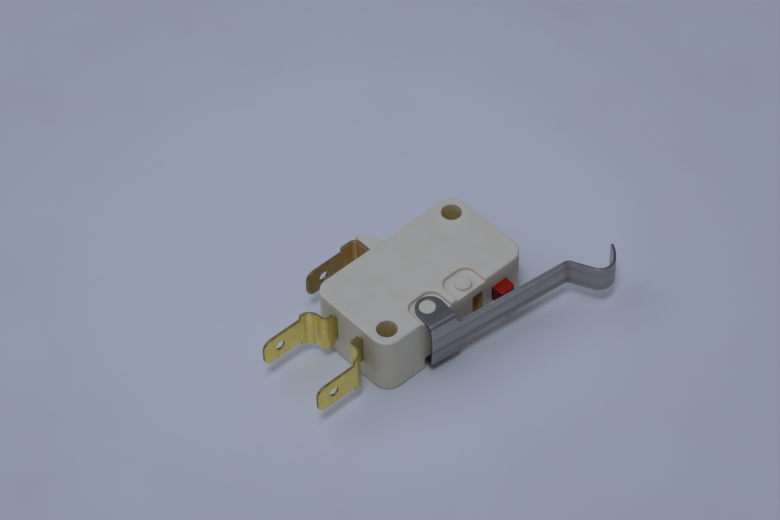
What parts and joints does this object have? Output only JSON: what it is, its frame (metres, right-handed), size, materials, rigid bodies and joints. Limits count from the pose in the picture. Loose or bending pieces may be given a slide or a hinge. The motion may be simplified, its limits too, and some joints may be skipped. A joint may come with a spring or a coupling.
{
  "type": "micro switch",
  "caption": "Miniature snap-action switch: flat moulded case with screw holes, red plunger, hinged steel lever bent to a rounded nose, and brass quick-connect tabs.",
  "frame": {"origin": "middle of the case's underside, the flat side it lies on", "axes": "+X along the case, away from the two end tabs; -Y the side with the plunger and lever; +Z through the case's thickness, up"},
  "size_m": [0.0506, 0.0297, 0.0103],
  "materials": {
    "case_plastic": "moulded, slightly matt cream",
    "cover_plastic": "moulded, slightly matt cream",
    "plunger_plastic": "smooth red",
    "lever_steel": "rolled sheet, drawn along its length",
    "tab_brass": "stamped, a little dulled",
    "contact_silver": "satin",
    "arm_copper": "rolled strip",
    "rocker_plastic": "moulded black",
    "spring_steel": "drawn wire"
  },
  "bodies": {
    "housing": {"case": "case_plastic", "cover": "cover_plastic", "normally_closed_terminal": "tab_brass", "normally_open_terminal": "tab_brass", "common_terminal": "tab_brass", "normally_closed_contact": "contact_silver", "normally_open_contact": "contact_silver"},
    "lever": {"lever": "lever_steel"},
    "plunger": {"plunger": "plunger_plastic"},
    "rocker": {"actuating_arm": "rocker_plastic"},
    "moving_arm": {"contact_arm": "arm_copper", "moving_contact": "contact_silver"},
    "spring": {"snap_spring": "spring_steel"}
  },
  "joints": [
    {"name": "lever_hinge", "type": "hinge", "parent": "housing", "child": "lever", "pos_m": [-0.004, -0.006, 0.00595], "axis": [0, 0, 1], "range_deg": [0, 9.2], "stiffness_Nm_per_rad": 0.03},
    {"name": "plunger_slide", "type": "slide", "parent": "housing", "child": "plunger", "axis": [0, 1, 0], "range_m": [0, 0.0012]},
    {"name": "rocker_hinge", "type": "hinge", "parent": "housing", "child": "rocker", "pos_m": [0.004, 0.0001, 0.00595], "axis": [0, 0, 1], "range_deg": [0, 15.28]},
    {"name": "moving_arm_hinge", "type": "hinge", "parent": "housing", "child": "moving_arm", "pos_m": [-0.0026, 0.0001, 0.00595], "axis": [0, 0, 1], "range_deg": [0, 6.88]},
    {"name": "spring_shift", "type": "slide", "parent": "housing", "child": "spring", "axis": [0, -1, 0], "range_m": [0, 0.0007]}
  ],
  "couplings": [
    {"joint": "plunger_slide", "follows": "lever_hinge", "m_per_rad": 0.00747},
    {"joint": "rocker_hinge", "follows": "lever_hinge", "ratio": 1.659},
    {"joint": "moving_arm_hinge", "follows": "lever_hinge", "ratio": 0.746},
    {"joint": "spring_shift", "follows": "lever_hinge", "m_per_rad": 0.004337}
  ]
}
